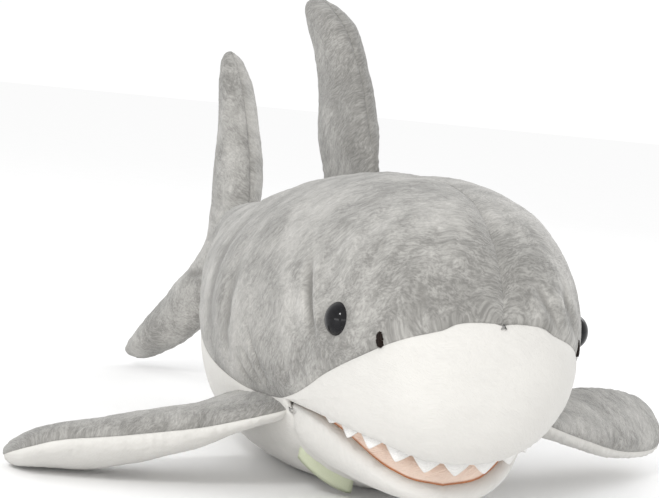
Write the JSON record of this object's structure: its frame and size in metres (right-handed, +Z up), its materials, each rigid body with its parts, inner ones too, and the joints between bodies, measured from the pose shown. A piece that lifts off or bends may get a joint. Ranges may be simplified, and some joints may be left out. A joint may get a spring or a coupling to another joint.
{
  "type": "plush shark",
  "caption": "Stuffed plush shark lying on its belly, with padded fins and tail that bend, a soft jaw, felt teeth and domed plastic eyes.",
  "frame": {"origin": "middle of the flat on the belly that the toy rests on", "axes": "+Z up; +Y from nose to tail along the body; +X towards the shark's own left side"},
  "size_m": [0.2873, 0.3583, 0.184],
  "materials": {
    "grey_plush": "matte",
    "white_plush": "matte",
    "mouth_lining": "matte",
    "tooth_felt": "matte",
    "eye_plastic": "gloss",
    "washer_plastic": "satin",
    "nostril_thread": "matte",
    "label_tape": "matte",
    "fibrefill": "matte"
  },
  "bodies": {
    "torso": {"right_back_panel": "grey_plush", "left_back_panel": "grey_plush", "snout_panel": "white_plush", "belly_panel": "white_plush", "body_stuffing": "fibrefill", "mouth_lining_upper": "mouth_lining", "upper_teeth_strip": "tooth_felt", "right_eye": "eye_plastic", "left_eye": "eye_plastic", "right_eye_washer": "washer_plastic", "left_eye_washer": "washer_plastic", "right_nostril_stitching": "nostril_thread", "left_nostril_stitching": "nostril_thread", "sewn_in_label": "label_tape"},
    "lower_jaw": {"jaw_panel": "white_plush", "jaw_stuffing": "fibrefill", "mouth_lining_lower": "mouth_lining"},
    "right_pectoral_fin": {"right_pectoral_top_panel": "grey_plush", "right_pectoral_bottom_panel": "white_plush", "right_pectoral_stuffing": "fibrefill"},
    "left_pectoral_fin": {"left_pectoral_top_panel": "grey_plush", "left_pectoral_bottom_panel": "white_plush", "left_pectoral_stuffing": "fibrefill"},
    "dorsal_fin": {"dorsal_right_panel": "grey_plush", "dorsal_left_panel": "grey_plush", "dorsal_stuffing": "fibrefill"},
    "tail": {"right_tail_panel": "grey_plush", "left_tail_panel": "grey_plush", "tail_belly_panel": "white_plush", "tail_stuffing": "fibrefill"},
    "caudal_fin": {"caudal_right_panel": "grey_plush", "caudal_left_panel": "grey_plush", "caudal_stuffing": "fibrefill"}
  },
  "joints": [
    {"name": "jaw_open", "type": "hinge", "parent": "torso", "child": "lower_jaw", "pos_m": [0, -0.0635, 0.035], "axis": [1, 0, 0], "range_deg": [0, 12], "stiffness_Nm_per_rad": 0.08, "springref_deg": -3.44, "deforming": ["jaw_panel"]},
    {"name": "right_pectoral_flap", "type": "hinge", "parent": "torso", "child": "right_pectoral_fin", "pos_m": [-0.057, -0.0375, 0.028], "axis": [-0.1183, 0.9859, -0.1183], "range_deg": [-25, 35], "stiffness_Nm_per_rad": 0.15, "springref_deg": 1.15},
    {"name": "left_pectoral_flap", "type": "hinge", "parent": "torso", "child": "left_pectoral_fin", "pos_m": [0.057, -0.0375, 0.028], "axis": [-0.1183, -0.9859, 0.1183], "range_deg": [-30, 30], "stiffness_Nm_per_rad": 0.15, "springref_deg": 1.15},
    {"name": "dorsal_tilt", "type": "hinge", "parent": "torso", "child": "dorsal_fin", "pos_m": [0, 0.0265, 0.1132], "axis": [0, 0.9806, -0.1961], "range_deg": [-30, 30], "stiffness_Nm_per_rad": 0.15},
    {"name": "tail_sway", "type": "hinge", "parent": "torso", "child": "tail", "pos_m": [0, 0.0675, 0.06], "axis": [0, 0, 1], "range_deg": [-20, 20], "stiffness_Nm_per_rad": 0.4, "deforming": ["right_tail_panel", "left_tail_panel", "tail_belly_panel"]},
    {"name": "caudal_sway", "type": "hinge", "parent": "tail", "child": "caudal_fin", "pos_m": [0, 0.1655, 0.063], "axis": [0, 0, 1], "range_deg": [-30, 30], "stiffness_Nm_per_rad": 0.15}
  ]
}
